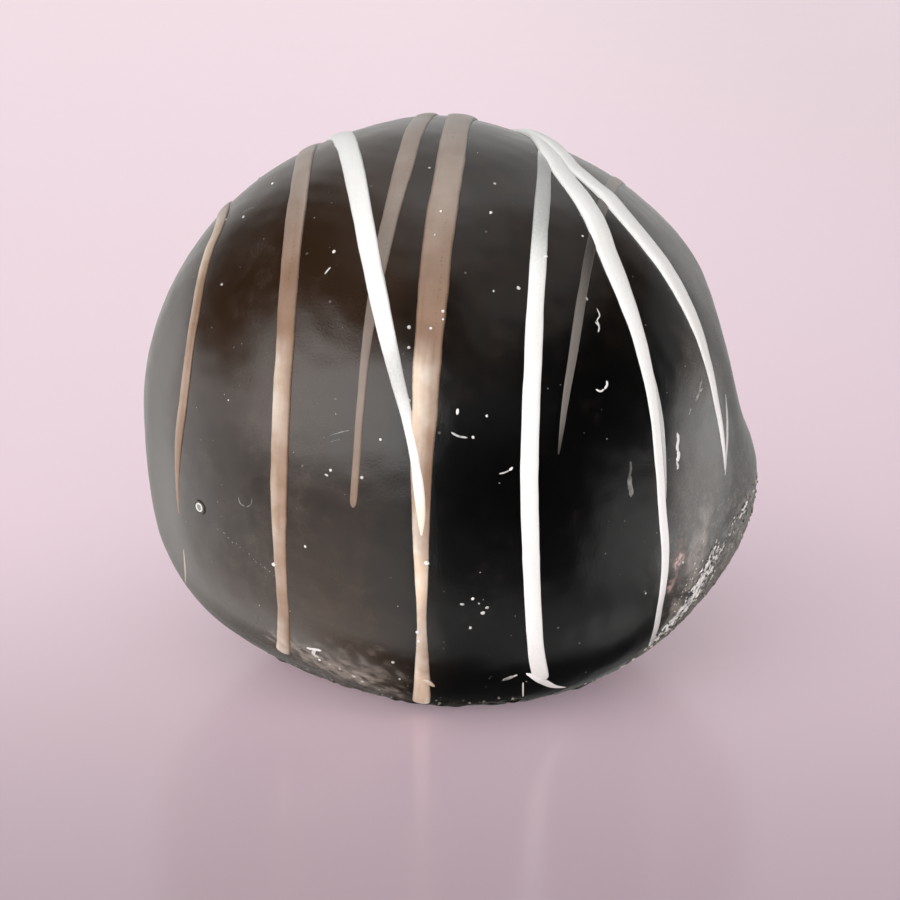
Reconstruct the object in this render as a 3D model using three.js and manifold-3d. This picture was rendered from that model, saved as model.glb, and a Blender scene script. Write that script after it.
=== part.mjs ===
// Chocolate praline: a hand-dipped dark ball that has settled on a small flat foot,
// crossed from back to front by lines of milk and white chocolate.
// Millimetres, +Z up. The shown side faces -Y, +X is to its right, and the origin is
// the centre of the flat foot. The ball and its lines have set together as one solid.

import * as THREE from 'three';
import { mergeVertices } from 'three/addons/utils/BufferGeometryUtils.js';
import Module from 'manifold-3d';

// Driving dimensions of the ball
const BALL_RADIUS = 15.6;
const CENTRE_HEIGHT = 13.45; // ball centre above the foot: it has sunk 2.15 mm into its own base
const FOOT_BLEND = 0.9; // roundness of the edge between the ball and the flat foot
const FOOT_TRIM = 0.03; // sliver pared off below, so that the rest is a single flat face
const BALL_DETAIL = 11; // splits of each edge of the icosahedron that the ball starts as

// The soft shell slumped before it set: a belt of swell low on the ball.
const SAG = { height: 0.78, tilt: -33, spread: 22 };

// Hand-rolled unevenness. turn is degrees from the front towards the right, tilt is
// degrees above the middle, height is mm in or out, spread is degrees.
const LUMPS = [
  { name: 'right shoulder', turn: 92, tilt: -14, height: 0.95, spread: 18 },
  { name: 'dip above the shoulder', turn: 93, tilt: 11, height: -1.35, spread: 13 },
  { name: 'full left cheek', turn: -95, tilt: 22, height: 0.3, spread: 35 },
  { name: 'flat upper right', turn: 105, tilt: 62, height: -0.42, spread: 26 },
  { name: 'hollow lower left', turn: -45, tilt: -48, height: -0.75, spread: 22 },
  { name: 'dip at the left middle', turn: -92, tilt: -9, height: -0.45, spread: 9 },
  { name: 'crown', turn: 180, tilt: 76, height: 0.25, spread: 10 },
  { name: 'flat patch behind', turn: 165, tilt: 12, height: -0.4, spread: 24 },
];

// A line of drizzle is a six-sided bead that has run a little into the ball under it.
const BEAD = { milk: 0.3, white: 0.36 }; // half thickness, as a share of the width
const BEAD_SINK = 0.05;
const BEAD_SIDES = 6;
const BEAD_STEP = 2.6;
const BEAD_POINT = 0.4; // thickness left at the tip of a line, as a share of the full one

// Routes of the lines, each by a few marks: degrees over the ball from its crown (to the
// front is positive, to the back negative), mm to the right of its middle, and mm wide.
const LINES = {
  milk: [
    [[-112, -10.6, 0.5], [-60, -11.1, 0.8], [-6, -11.5, 0.95], [13, -11.6, 0.88], [24, -12.03, 0.85],
      [42, -12.45, 0.8], [66, -12.94, 0.78], [84, -13.3, 0.72], [106, -13.42, 0.35]],
    [[-134, -5.2, 0.7], [-70, -5.6, 0.95], [-8, -7.08, 1.05], [20, -7.28, 1.12], [42, -7.55, 1.1], [63, -7.76, 1.06],
      [83, -7.99, 1.04], [101, -8.06, 0.82], [120, -8, 0.73], [141, -8.25, 0.8]],
    [[-118, 1.6, 0.6], [-55, 0.3, 0.95], [0, -1.35, 1], [25, -2.15, 0.98], [46, -3.1, 0.78], [64, -3.8, 0.48],
      [92, -4.45, 0.38]],
    [[-139, 2.6, 1], [-65, 2.4, 1.3], [-6, 0.75, 1.35], [25, 0.17, 1.45], [58, -0.69, 1.44], [76, -1, 1.28],
      [91, -1.17, 0.94], [113, -1.16, 0.5], [124, -1.16, 0.7], [145, -1.26, 0.98]],
    [[-104, 8.9, 0.4], [-50, 9.9, 0.6], [8, 8.5, 0.65], [36, 7.25, 0.57], [62, 6.18, 0.48], [80, 5.5, 0.35]],
  ],
  white: [
    [[-138, 5.3, 0.8], [-75, 3.9, 0.95], [0, 5.05, 0.66], [24, 4.86, 0.76], [48, 4.43, 0.86], [88, 4, 0.9],
      [121, 4.4, 0.82], [133, 4.8, 0.8], [141, 5.5, 0.45]],
    [[-129, -7.6, 0.8], [-70, -7.9, 1.1], [-3, -5.4, 1.15], [38, -3.95, 1.02], [58, -2.98, 0.9], [76, -1.84, 0.58],
      [90, -1.24, 0.6], [98, -1.13, 0.4]],
    [[-16, 7.4, 0.4], [-24, 8.2, 0.7], [-50, 10.4, 1], [-84, 11.9, 0.85], [-120, 11.6, 0.6]],
    // up the right of the front and over the crown
    [[147, 10.42, 0.35], [119, 10.86, 0.5], [98, 10.62, 0.6], [79, 10.3, 0.7], [62, 9.65, 0.85], [41, 8.08, 1.22],
      [22, 6.34, 1.34], [13, 5.44, 1.2], [4, 5, 1.05], [-8, 4.75, 0.95], [-24, 5.2, 0.95], [-50, 7, 1],
      [-84, 8.4, 0.9], [-122, 8.7, 0.65]],
    // the next one to the right, which crosses it at the crown
    [[101, 14.1, 0.3], [81, 13.8, 0.48], [60, 13.13, 0.68], [46, 12.34, 1.04], [34, 10.85, 1.34], [16, 7.27, 1.38],
      [3, 5.3, 1.1], [-8, 4.45, 1], [-18, 3.5, 0.95], [-32, 1.6, 0.95], [-52, -0.9, 1], [-74, -1.8, 0.95],
      [-96, -1.4, 0.9], [-133, -0.6, 0.75]],
  ],
};

const CHOCOLATE = { color: 0x2b1d18, roughness: 0.35, metalness: 0 };

const wasm = await Module();
wasm.setup();

const radians = THREE.MathUtils.degToRad;

function bearing(turn, tilt) {
  const level = Math.cos(radians(tilt));
  return new THREE.Vector3(
    Math.sin(radians(turn)) * level,
    -Math.cos(radians(turn)) * level,
    Math.sin(radians(tilt)),
  );
}

const swell = (degreesAway, { height, spread }) => height * Math.exp(-((degreesAway / spread) ** 2));

// The smaller of two distances, with the corner between them rounded.
function softMin(a, b, blend) {
  const overlap = Math.max(blend - Math.abs(a - b), 0) / blend;
  return Math.min(a, b) - (overlap * overlap * blend) / 4;
}

const lumps = LUMPS.map((lump) => ({ ...lump, at: bearing(lump.turn, lump.tilt) }));

// How far the ball's skin lies from its centre in a direction of length 1.
function reach(direction) {
  const tilt = THREE.MathUtils.radToDeg(Math.asin(THREE.MathUtils.clamp(direction.z, -1, 1)));
  let radius = BALL_RADIUS + swell(tilt - SAG.tilt, SAG);
  for (const lump of lumps) {
    radius += swell(THREE.MathUtils.radToDeg(direction.angleTo(lump.at)), lump);
  }
  const toFoot = direction.z < 0 ? -CENTRE_HEIGHT / direction.z : Infinity;
  return softMin(radius, toFoot, FOOT_BLEND);
}

const centre = new THREE.Vector3(0, 0, CENTRE_HEIGHT);

const skin = (direction) => direction.clone().multiplyScalar(reach(direction)).add(centre);

// The point of the skin in the upright plane that is side mm to the right of the middle.
function markOnSkin(over, side) {
  let drop = Math.sqrt(BALL_RADIUS ** 2 - side ** 2);
  const direction = new THREE.Vector3();
  for (let pass = 0; pass < 12; pass += 1) {
    direction.set(side, -drop * Math.sin(over), drop * Math.cos(over)).normalize();
    drop = Math.sqrt(Math.max(reach(direction) ** 2 - side ** 2, 1));
  }
  return skin(direction);
}

// Which way the skin faces at a point on it, from two short steps along it.
function facing(point) {
  const out = point.clone().sub(centre).normalize();
  const step = 0.01;
  const across = new THREE.Vector3(0, 0, 1).cross(out);
  if (across.lengthSq() < 1e-6) across.set(1, 0, 0);
  across.normalize();
  const up = out.clone().cross(across);
  const near = (way, length) => skin(out.clone().addScaledVector(way, length).normalize());
  const alongAcross = near(across, step).sub(near(across, -step));
  const alongUp = near(up, step).sub(near(up, -step));
  return alongAcross.cross(alongUp).normalize();
}

// One body from a geometry whose faces share their corners.
function solid(geometry) {
  geometry.deleteAttribute('normal');
  geometry.deleteAttribute('uv');
  const joined = mergeVertices(geometry, 1e-4);
  return new wasm.Manifold(new wasm.Mesh({
    numProp: 3,
    vertProperties: new Float32Array(joined.attributes.position.array),
    triVerts: new Uint32Array(joined.index.array),
  }));
}

// Moves every corner of a geometry to where place(corner) says.
function reshaped(geometry, place) {
  const corners = geometry.attributes.position;
  const corner = new THREE.Vector3();
  for (let i = 0; i < corners.count; i += 1) {
    corner.copy(place(corner.fromBufferAttribute(corners, i)));
    corners.setXYZ(i, corner.x, corner.y, corner.z);
  }
  return geometry;
}

const ball = () => solid(reshaped(
  new THREE.IcosahedronGeometry(1, BALL_DETAIL),
  (corner) => skin(corner.clone().normalize()),
));

// A line's bead: a closed cylinder, wrapped along its route over the ball.
function bead(marks, share) {
  const curve = new THREE.CatmullRomCurve3(
    marks.map(([over, side, width]) => new THREE.Vector3(radians(over) * BALL_RADIUS, side, width)),
  );
  const steps = Math.ceil(curve.getLength() / BEAD_STEP);
  const route = curve.getSpacedPoints(steps).map(({ x, y, z }) => {
    const at = markOnSkin(x / BALL_RADIUS, y);
    return { at, out: facing(at), width: z };
  });
  const tube = new THREE.CylinderGeometry(1, 1, 1, BEAD_SIDES, steps, false, Math.PI / BEAD_SIDES);
  return solid(reshaped(tube, (corner) => {
    const index = Math.round((corner.y + 0.5) * steps);
    const { at, out, width } = route[index];
    const ahead = route[Math.min(index + 1, steps)].at.clone();
    ahead.sub(route[Math.max(index - 1, 0)].at).projectOnPlane(out).normalize();
    const beside = ahead.clone().cross(out);
    const full = index === 0 || index === steps ? BEAD_POINT : 1;
    return at.clone()
      .addScaledVector(beside, corner.x * full * width / 2)
      .addScaledVector(out, corner.z * full * width * share - BEAD_SINK);
  }));
}

// Pares the underside to one flat face at the height of the origin.
function paredFlat(body) {
  const wide = BALL_RADIUS * 4;
  const below = new THREE.BoxGeometry(wide, wide, wide).translate(0, 0, FOOT_TRIM - wide / 2);
  return body.subtract(solid(below));
}

let body = ball();
for (const [kind, routes] of Object.entries(LINES)) {
  for (const marks of routes) body = body.add(bead(marks, BEAD[kind]));
}

const cut = paredFlat(body).getMesh();
const geometry = new THREE.BufferGeometry();
geometry.setAttribute('position', new THREE.BufferAttribute(cut.vertProperties, 3));
geometry.setIndex(new THREE.BufferAttribute(cut.triVerts, 1));
geometry.translate(0, 0, -FOOT_TRIM);
geometry.computeVertexNormals();

const praline = new THREE.Mesh(geometry, new THREE.MeshStandardMaterial(CHOCOLATE));
praline.name = 'praline';

const model = new THREE.Group();
model.add(praline);

export default model;
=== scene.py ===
import math

import bpy
import numpy as np
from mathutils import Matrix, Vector


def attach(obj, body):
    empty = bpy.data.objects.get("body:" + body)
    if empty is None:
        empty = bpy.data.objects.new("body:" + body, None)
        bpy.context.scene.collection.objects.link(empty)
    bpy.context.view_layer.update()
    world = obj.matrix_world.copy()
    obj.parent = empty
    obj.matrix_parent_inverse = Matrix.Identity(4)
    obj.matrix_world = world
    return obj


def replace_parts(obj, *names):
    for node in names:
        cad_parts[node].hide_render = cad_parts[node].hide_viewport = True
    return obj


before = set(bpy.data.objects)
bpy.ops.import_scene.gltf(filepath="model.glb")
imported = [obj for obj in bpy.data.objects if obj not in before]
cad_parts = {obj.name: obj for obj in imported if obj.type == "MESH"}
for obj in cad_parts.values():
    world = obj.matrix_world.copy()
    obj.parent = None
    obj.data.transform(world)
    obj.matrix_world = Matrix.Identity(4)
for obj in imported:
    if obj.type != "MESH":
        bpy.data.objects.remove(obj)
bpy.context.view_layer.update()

# A chocolate praline: a dark hand-dipped ball with lines of milk and white chocolate over it.
# Numbers for the shape are mm, as on a pastry cook's bench, and become metres in the meshes.

mm = 0.001


# Shader maths

class Wire:
    # an output socket: sums, differences and products of wires add Math nodes
    def __init__(self, tree, socket):
        self.tree = tree
        self.socket = socket

    def maths(self, operation, *values):
        return addNode(self.tree, "ShaderNodeMath", {"operation": operation}, dict(enumerate(values)))

    def __add__(self, other):
        return self.maths("ADD", self, other)

    def __radd__(self, other):
        return self.maths("ADD", other, self)

    def __sub__(self, other):
        return self.maths("SUBTRACT", self, other)

    def __rsub__(self, other):
        return self.maths("SUBTRACT", other, self)

    def __mul__(self, other):
        return self.maths("MULTIPLY", self, other)

    def __rmul__(self, other):
        return self.maths("MULTIPLY", other, self)


def addNode(tree, kind, settings=None, sockets=None, output=0):
    # a node with its settings made first, then its sockets filled or linked
    node = tree.nodes.new(kind)
    for name, value in (settings or {}).items():
        if name == "stops":
            ramp = node.color_ramp
            while len(ramp.elements) < len(value):
                ramp.elements.new(1)
            for element, (position, colour) in zip(ramp.elements, value):
                element.position = position
                element.color = (*colour, 1)
        else:
            setattr(node, name, value)
    for name, value in (sockets or {}).items():
        if isinstance(value, Wire):
            tree.links.new(value.socket, node.inputs[name])
        elif isinstance(value, tuple) and len(value) == 3 and node.inputs[name].type == "RGBA":
            node.inputs[name].default_value = (*value, 1)
        else:
            node.inputs[name].default_value = value
    return Wire(tree, node.outputs[output]) if node.outputs else None


def benchPlace(tree):
    # the point on the praline, in mm
    place = addNode(tree, "ShaderNodeTexCoord", output="Object")
    return addNode(tree, "ShaderNodeVectorMath", {"operation": "SCALE"}, {0: place, "Scale": 1 / mm})


def axis(tree, place, name):
    return addNode(tree, "ShaderNodeSeparateXYZ", {}, {0: place}, output=name)


def cloud(tree, place, perMm, detail=3.0, roughness=0.55, distortion=0.0):
    sockets = {"Vector": place, "Scale": perMm, "Detail": detail, "Roughness": roughness}
    return addNode(tree, "ShaderNodeTexNoise", {}, {**sockets, "Distortion": distortion})


def between(tree, value, low, high, dark=0.0, bright=1.0):
    # 'dark' below low, 'bright' above high, smooth between them
    sockets = {"Value": value, "From Min": low, "From Max": high, "To Min": dark, "To Max": bright}
    return addNode(tree, "ShaderNodeMapRange", {"interpolation_type": "SMOOTHSTEP"}, sockets)


def blendColour(tree, amount, first, second):
    # sockets 6 and 7 of a Mix node are its two colours, and output 2 is the blended one
    sockets = {0: amount, 6: first, 7: second}
    return addNode(tree, "ShaderNodeMix", {"data_type": "RGBA"}, sockets, output=2)


def bumped(tree, height, strength, deep):
    # deep: mm between the lowest and the highest
    sockets = {"Strength": strength, "Distance": deep * mm, "Height": height}
    return addNode(tree, "ShaderNodeBump", {}, sockets)


def readValue(tree, name):
    settings = {"attribute_type": "GEOMETRY", "attribute_name": name}
    return addNode(tree, "ShaderNodeAttribute", settings, output="Fac")


def newFinish(name, build, fixed):
    # build(tree) gives the varying sockets of the Principled shader, and fixed its constant ones
    material = bpy.data.materials.new(name)
    material.use_nodes = True
    tree = material.node_tree
    tree.nodes.clear()
    surface = addNode(tree, "ShaderNodeBsdfPrincipled", {}, {**fixed, **build(tree)})
    addNode(tree, "ShaderNodeOutputMaterial", {}, {"Surface": surface})
    return material


# The ball's form, the same as the solid's

ball = {
    "radius": 15.6,
    "centreHeight": 13.45,  # above the plane that the foot blends into
    "footBlend": 0.9,
    "footTrim": 0.03,  # pared off below, so that the foot is flat
    "sag": {"height": 0.78, "tilt": -33, "spread": 22},
    "lumps": [  # degrees from the front to the right, degrees up, mm in or out, degrees wide
        (92, -14, 0.95, 18),
        (93, 11, -1.35, 13),
        (-95, 22, 0.3, 35),
        (105, 62, -0.42, 26),
        (-45, -48, -0.75, 22),
        (-92, -9, -0.45, 9),
        (180, 76, 0.25, 10),
        (165, 12, -0.4, 24),
    ],
}
ballCentre = np.array([0, 0, ball["centreHeight"] - ball["footTrim"]])


def bearing(turn, tilt):
    turn, tilt = math.radians(turn), math.radians(tilt)
    return np.array([math.sin(turn) * math.cos(tilt), -math.cos(turn) * math.cos(tilt), math.sin(tilt)])


def unitRows(rows):
    return rows / np.linalg.norm(rows, axis=-1, keepdims=True)


def degreesFrom(ways, turn, tilt):
    return np.degrees(np.arccos(np.clip(ways @ bearing(turn, tilt), -1, 1)))


def swell(degreesAway, height, spread):
    return height * np.exp(-((degreesAway / spread) ** 2))


def reach(ways):
    # how far the skin is from the ball's centre, along ways of length 1
    sag = ball["sag"]
    tilts = np.degrees(np.arcsin(np.clip(ways[:, 2], -1, 1)))
    out = ball["radius"] + swell(tilts - sag["tilt"], sag["height"], sag["spread"])
    for turn, tilt, height, spread in ball["lumps"]:
        out = out + swell(degreesFrom(ways, turn, tilt), height, spread)
    toFoot = np.where(ways[:, 2] < -0.05, ball["centreHeight"] / np.maximum(-ways[:, 2], 0.05), 1e3)
    blend = ball["footBlend"]
    overlap = np.maximum(blend - np.abs(out - toFoot), 0) / blend
    return np.minimum(out, toFoot) - overlap**2 * blend / 4


def skin(ways):
    return ballCentre + ways * reach(ways)[:, None]


def facing(points):
    # which way the skin faces at points on it, from short steps along it
    out = unitRows(points - ballCentre)
    across = np.cross([0, 0, 1], out)
    across[np.linalg.norm(across, axis=1) < 1e-3] = (1, 0, 0)
    across = unitRows(across)
    up = np.cross(out, across)
    step = 0.01
    alongAcross, alongUp = (
        skin(unitRows(out + way * step)) - skin(unitRows(out - way * step)) for way in (across, up)
    )
    return unitRows(np.cross(alongAcross, alongUp))


def onSkin(over, side):
    # over: degrees over the ball from its crown to the front; side: mm to the right of its middle
    over = np.radians(np.asarray(over, float))
    side = np.asarray(side, float)
    drop = np.sqrt(ball["radius"] ** 2 - side**2)
    for _ in range(12):
        ways = unitRows(np.stack([side, -drop * np.sin(over), drop * np.cos(over)], axis=1))
        drop = np.sqrt(np.maximum(reach(ways) ** 2 - side**2, 1))
    return skin(ways)


def ripples(points, length, seed, waves=26):
    # smooth unevenness of about -1 to 1, from crossed waves about as long as length
    draw = np.random.default_rng(seed)
    ways = unitRows(draw.normal(size=(waves, 3))) * (2 * math.pi / length)
    ways *= draw.uniform(0.7, 1.5, (waves, 1))
    return np.sin(points @ ways.T + draw.uniform(0, 2 * math.pi, waves)).sum(axis=1) / math.sqrt(waves)


def smoothStep(value, low, high):
    t = np.clip((value - low) / (high - low), 0, 1)
    return t * t * (3 - 2 * t)


# Meshes

def newPiece(name, points, faces, finish, values=None):
    # points in mm. values are named numbers, one for each point
    mesh = bpy.data.meshes.new(name)
    mesh.from_pydata((np.asarray(points) * mm).tolist(), [], [tuple(face) for face in faces])
    mesh.update()
    for valueName, numbers in (values or {}).items():
        made = mesh.attributes.new(valueName, "FLOAT", "POINT")
        made.data.foreach_set("value", np.asarray(numbers, np.float32))
    mesh.polygons.foreach_set("use_smooth", [True] * len(mesh.polygons))
    mesh.materials.append(finish)
    piece = bpy.data.objects.new(name, mesh)
    bpy.context.scene.collection.objects.link(piece)
    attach(piece, "root")
    print(name, len(mesh.vertices), "points", len(mesh.polygons), "faces")
    return piece


def joined(parts):
    # several (points, faces, values) as one
    points, faces, values, start = [], [], {}, 0
    for partPoints, partFaces, partValues in parts:
        points.append(partPoints)
        faces += [tuple(i + start for i in face) for face in partFaces]
        for name, numbers in partValues.items():
            values.setdefault(name, []).append(numbers)
        start += len(partPoints)
    return np.concatenate(points), faces, {name: np.concatenate(v) for name, v in values.items()}


def around(sides):
    # each corner of a ring with the next one
    return [(s, (s + 1) % sides) for s in range(sides)]


def geodesic(splits):
    # ways of length 1 spread evenly, and the triangles between them
    gold = (1 + math.sqrt(5)) / 2
    corners = [(s, t * gold, 0) for s in (-1, 1) for t in (-1, 1)]
    corners = np.array([np.roll(c, shift) for shift in range(3) for c in corners], float)
    apart = np.linalg.norm(corners[:, None] - corners[None], axis=2)
    near = (apart > 0.1) & (apart < 2.1)
    triples = [
        (a, b, c) for a in range(12) for b in range(a) for c in range(b)
        if near[a, b] and near[b, c] and near[a, c]
    ]
    steps = [(i, j) for i in range(splits + 1) for j in range(splits + 1 - i)]
    index = {step: n for n, step in enumerate(steps)}
    weights = np.array([(i, j, splits - i - j) for i, j in steps]) / splits
    small = [(index[i, j], index[i + 1, j], index[i, j + 1]) for i, j in steps if i + j < splits]
    small += [
        (index[i + 1, j], index[i + 1, j + 1], index[i, j + 1])
        for i, j in steps if i + j < splits - 1
    ]
    small = np.array(small)
    points, faces = [], []
    for number, triple in enumerate(triples):
        a, b, c = corners[list(triple)]
        inward = np.dot(np.cross(b - a, c - a), a + b + c) < 0
        points.append(weights @ np.array([a, b, c]))
        faces.append((small[:, ::-1] if inward else small) + number * len(steps))
    points, faces = unitRows(np.concatenate(points)), np.concatenate(faces)
    _, first, where = np.unique(np.round(points, 5), axis=0, return_index=True, return_inverse=True)
    return points[first], where.reshape(-1)[faces]


# Finishes

def darkSockets(tree):
    look = {
        # deep is a painted shade for the front right; brown is the chocolate, shown most where painted light
        # falls
        "deep": (0.0013, 0.0011, 0.0010),
        "brown": (0.0255, 0.0125, 0.0060),
        "lowLeftSheen": (0.062, 0.037, 0.022),  # a painted sheen low on the left
        "bloomHazeAndSheen": (0.066, 0.051, 0.041),
        "paleCrumbAndSparkle": (0.400, 0.360, 0.315),
        "powder": (0.420, 0.370, 0.320),
        "dot": (0.26, 0.24, 0.22),
        "stain": (0.21, 0.105, 0.085),
        "blush": (0.62, 0.47, 0.44),
        "gloss": 0.21,
    }
    place = benchPlace(tree)
    x, z = axis(tree, place, "X"), axis(tree, place, "Z")
    broad = cloud(tree, place, 0.16, 2)
    mottle = cloud(tree, place, 0.9, 4, 0.6)
    grain = cloud(tree, place, 8.5, 2, 0.7)
    crust, stain, powder = (readValue(tree, name) for name in ("crust", "stain", "powder"))
    # painted light and shade: browner over the top and the left, where the light falls, and a painted shade,
    # nearly black, low on the right of the front, with a random mottle through both
    paintedLitLeft = between(tree, x + broad * 5, 3.5, -4)
    high = between(tree, z + broad * 6 - x * 0.15, 18.5, 25)
    paintedLightAndMottle = between(tree, paintedLitLeft * 0.75 + high * 0.5 + (mottle - 0.5) * 0.7, 0.1, 1.15)
    colour = blendColour(tree, paintedLightAndMottle * (0.75 + grain * 0.5), look["deep"], look["brown"])
    # a painted sheen, lighter brown, low on the left
    paintedSheenLowLeft = between(tree, z + broad * 4, 15, 6) * paintedLitLeft
    colour = blendColour(tree, paintedSheenLowLeft * (0.3 + mottle * 0.6), colour, look["lowLeftSheen"])
    # a faint bloom of cocoa butter in patches, and with it a painted sheen: more of it low on the left and at
    # the right flank, less on the front right
    low = between(tree, z, 7, 0.5) * paintedLitLeft
    flank = between(tree, x, 9.5, 13)
    clear = (1.0 - paintedLitLeft) * (1.0 - flank)
    bloomAndSheenAmount = mottle * 0.5 + broad * 0.5 + low * 0.3 + flank * 0.2 - clear * 0.12
    bloomAndSheen = between(tree, bloomAndSheenAmount, 0.47, 0.86, 0.0, 0.7)
    colour = blendColour(tree, bloomAndSheen * (0.4 + grain * 1.2), colour, look["bloomHazeAndSheen"])
    # the right flank is rubbed
    rubs = between(tree, cloud(tree, place, 2.6, 4, 0.75), 0.46, 0.72)
    rubbed = flank * between(tree, z, 15, 9) * rubs
    colour = blendColour(tree, rubbed * 0.3, colour, look["powder"])
    # pin-head dots of dust and sugar, on some cells of a pattern
    cells = {"Vector": place, "Scale": 0.9, "Randomness": 1.0}
    away, lot = (
        addNode(tree, "ShaderNodeTexVoronoi", {"feature": "F1"}, cells, output=name)
        for name in ("Distance", "Color")
    )
    chosen = between(tree, addNode(tree, "ShaderNodeSeparateColor", {}, {0: lot}), 0.7, 0.72)
    dots = between(tree, away, 0.075, 0.04) * chosen
    colour = blendColour(tree, dots * 0.3, colour, look["dot"])
    # smears, then the crust: pale crumb on the dark, worn off in places, with pale flecks in it that are
    # partly painted sparkle
    powdered = powder * between(tree, cloud(tree, place, 2.2, 4, 0.7), 0.2, 0.6)
    colour = blendColour(tree, powdered, colour, look["powder"])
    patches = cloud(tree, place, 2.5, 3)
    colour = blendColour(tree, stain * between(tree, patches, 0.28, 0.6), colour, look["stain"])
    blushing = stain * stain * between(tree, patches, 0.44, 0.62)
    colour = blendColour(tree, blushing * 0.85, colour, look["blush"])
    flecks = between(tree, cloud(tree, place, 4.2, 3, 0.65), 0.46, 0.64)
    worn = between(tree, cloud(tree, place, 1.15, 3, 0.6), 0.38, 0.6)
    crumbAndPaintedSparkle = crust * (0.3 + worn * 0.7) * (0.18 + flecks * 0.72)
    colour = blendColour(tree, crumbAndPaintedSparkle, colour, look["paleCrumbAndSparkle"])
    gloss = look["gloss"] + (mottle - 0.5) * 0.10 + bloomAndSheen * 0.12 + (grain - 0.5) * 0.10
    gloss = gloss + crust * (0.05 - flecks * 0.12)
    height = grain * 0.6 + mottle * 0.8 + crust * cloud(tree, place, 3.2, 5, 0.7) * 9 + dots * 0.8
    return {"Base Color": colour, "Roughness": gloss, "Normal": bumped(tree, height, 0.35, 0.03)}


def milkSockets(tree):
    look = {
        "dark": (0.222, 0.130, 0.080),
        "tan": (0.285, 0.177, 0.120),
        "paintedTopSheen": (0.430, 0.400, 0.370),  # a painted sheen, paler near the top
        "cream": (0.72, 0.56, 0.42),
        "white": (0.90, 0.82, 0.71),
        "thin": (0.165, 0.145, 0.130),
        "shell": (0.030, 0.025, 0.023),
        "skirt": (0.060, 0.036, 0.024),  # where a line thins out at its edges
        "gloss": 0.30,
    }
    place = benchPlace(tree)
    along, across, tone, rim = (readValue(tree, name) for name in ("along", "across", "tone", "rim"))
    stretched = {"X": along * 0.10, "Y": across * 1.1, "Z": tone * 0.2}
    streaks = cloud(tree, addNode(tree, "ShaderNodeCombineXYZ", {}, stretched), 1.9, 2, 0.5, 0.2)
    grain = cloud(tree, place, 8, 2)
    soft = cloud(tree, place, 0.5, 3)
    uneven = between(tree, streaks * 0.3 + soft * 0.6 + grain * 0.1, 0.36, 0.62)
    colour = blendColour(tree, uneven, look["dark"], look["tan"])
    # a painted sheen over the lines near the top of the ball
    top = between(tree, axis(tree, place, "Z"), 22, 27)
    colour = blendColour(tree, top * (0.2 + soft * 0.4), colour, look["paintedTopSheen"])
    # cream in a wide line, with a painted highlight that makes it paler at its left, where the light falls
    marbling = between(tree, streaks * 0.3 + soft * 0.7, 0.42, 0.62)
    marbled = blendColour(tree, marbling, look["cream"], look["white"])
    creamAndPaintedLeftLight = tone * (1.0 + across * 1.2) + (streaks - 0.5) * 0.16 + (soft - 0.5) * 0.25
    pale = between(tree, creamAndPaintedLeftLight, 0.02, 0.98) * between(tree, tone, 0.0, 0.08)
    colour = blendColour(tree, pale, colour, marbled)
    # the dark shows through where it is thin
    worn = tone + (grain - 0.5) * 0.12
    colour = blendColour(tree, between(tree, worn, -0.05, -0.5), colour, look["thin"])
    colour = blendColour(tree, between(tree, worn, -0.5, -1.0), colour, look["shell"])
    edges = between(tree, rim + (grain - 0.5) * 0.2, 0.80, 1.06)
    colour = blendColour(tree, edges * 0.75, colour, look["skirt"])
    gloss = look["gloss"] + (streaks - 0.5) * 0.10 + (grain - 0.5) * 0.08
    height = streaks * 0.5 + grain * 0.12
    return {"Base Color": colour, "Roughness": gloss, "Normal": bumped(tree, height, 0.2, 0.02)}


def whiteSockets(tree):
    look = {
        "warm": (0.83, 0.815, 0.785),
        "white": (0.90, 0.895, 0.88),
        "cream": (0.84, 0.74, 0.60),  # tone above 0
        "seen": (0.30, 0.30, 0.29),  # tone below 0: grey where a line is thin, and a painted shade on the long line's top
        "gloss": 0.3,
    }
    place = benchPlace(tree)
    along, across, tone = (readValue(tree, name) for name in ("along", "across", "tone"))
    stretched = {"X": along * 0.12, "Y": across * 1.3, "Z": 0.0}
    streaks = cloud(tree, addNode(tree, "ShaderNodeCombineXYZ", {}, stretched), 1.6, 3)
    grain = cloud(tree, place, 7, 2)
    uneven = between(tree, streaks * 0.6 + grain * 0.4, 0.3, 0.7)
    colour = blendColour(tree, uneven, look["warm"], look["white"])
    toned = tone + (grain - 0.5) * 0.2
    colour = blendColour(tree, between(tree, toned, 0.0, 1.0), colour, look["cream"])
    colour = blendColour(tree, between(tree, toned, -0.05, -1.0), colour, look["seen"])
    gloss = look["gloss"] + (grain - 0.5) * 0.1
    height = streaks * 0.5 + grain * 0.3
    return {"Base Color": colour, "Roughness": gloss, "Normal": bumped(tree, height, 0.25, 0.03)}


def dustAndHighlightSockets(tree):
    # tone 1 is fresh sugar, and also the white of painted highlights and glints; 0 a mark that is rubbed in
    look = {"rubbedIn": (0.085, 0.080, 0.074), "sugar": (0.80, 0.78, 0.75), "gloss": 0.3}
    place = benchPlace(tree)
    fleck = cloud(tree, place, 3.5, 3)
    fresh = between(tree, readValue(tree, "tone") + (fleck - 0.5) * 0.9, 0.0, 1.0)
    colour = blendColour(tree, fresh, look["rubbedIn"], look["sugar"])
    gloss = look["gloss"] + (fleck - 0.5) * 0.2
    grain = cloud(tree, place, 14, 2)
    return {"Base Color": colour, "Roughness": gloss, "Normal": bumped(tree, grain, 0.4, 0.02)}


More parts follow.
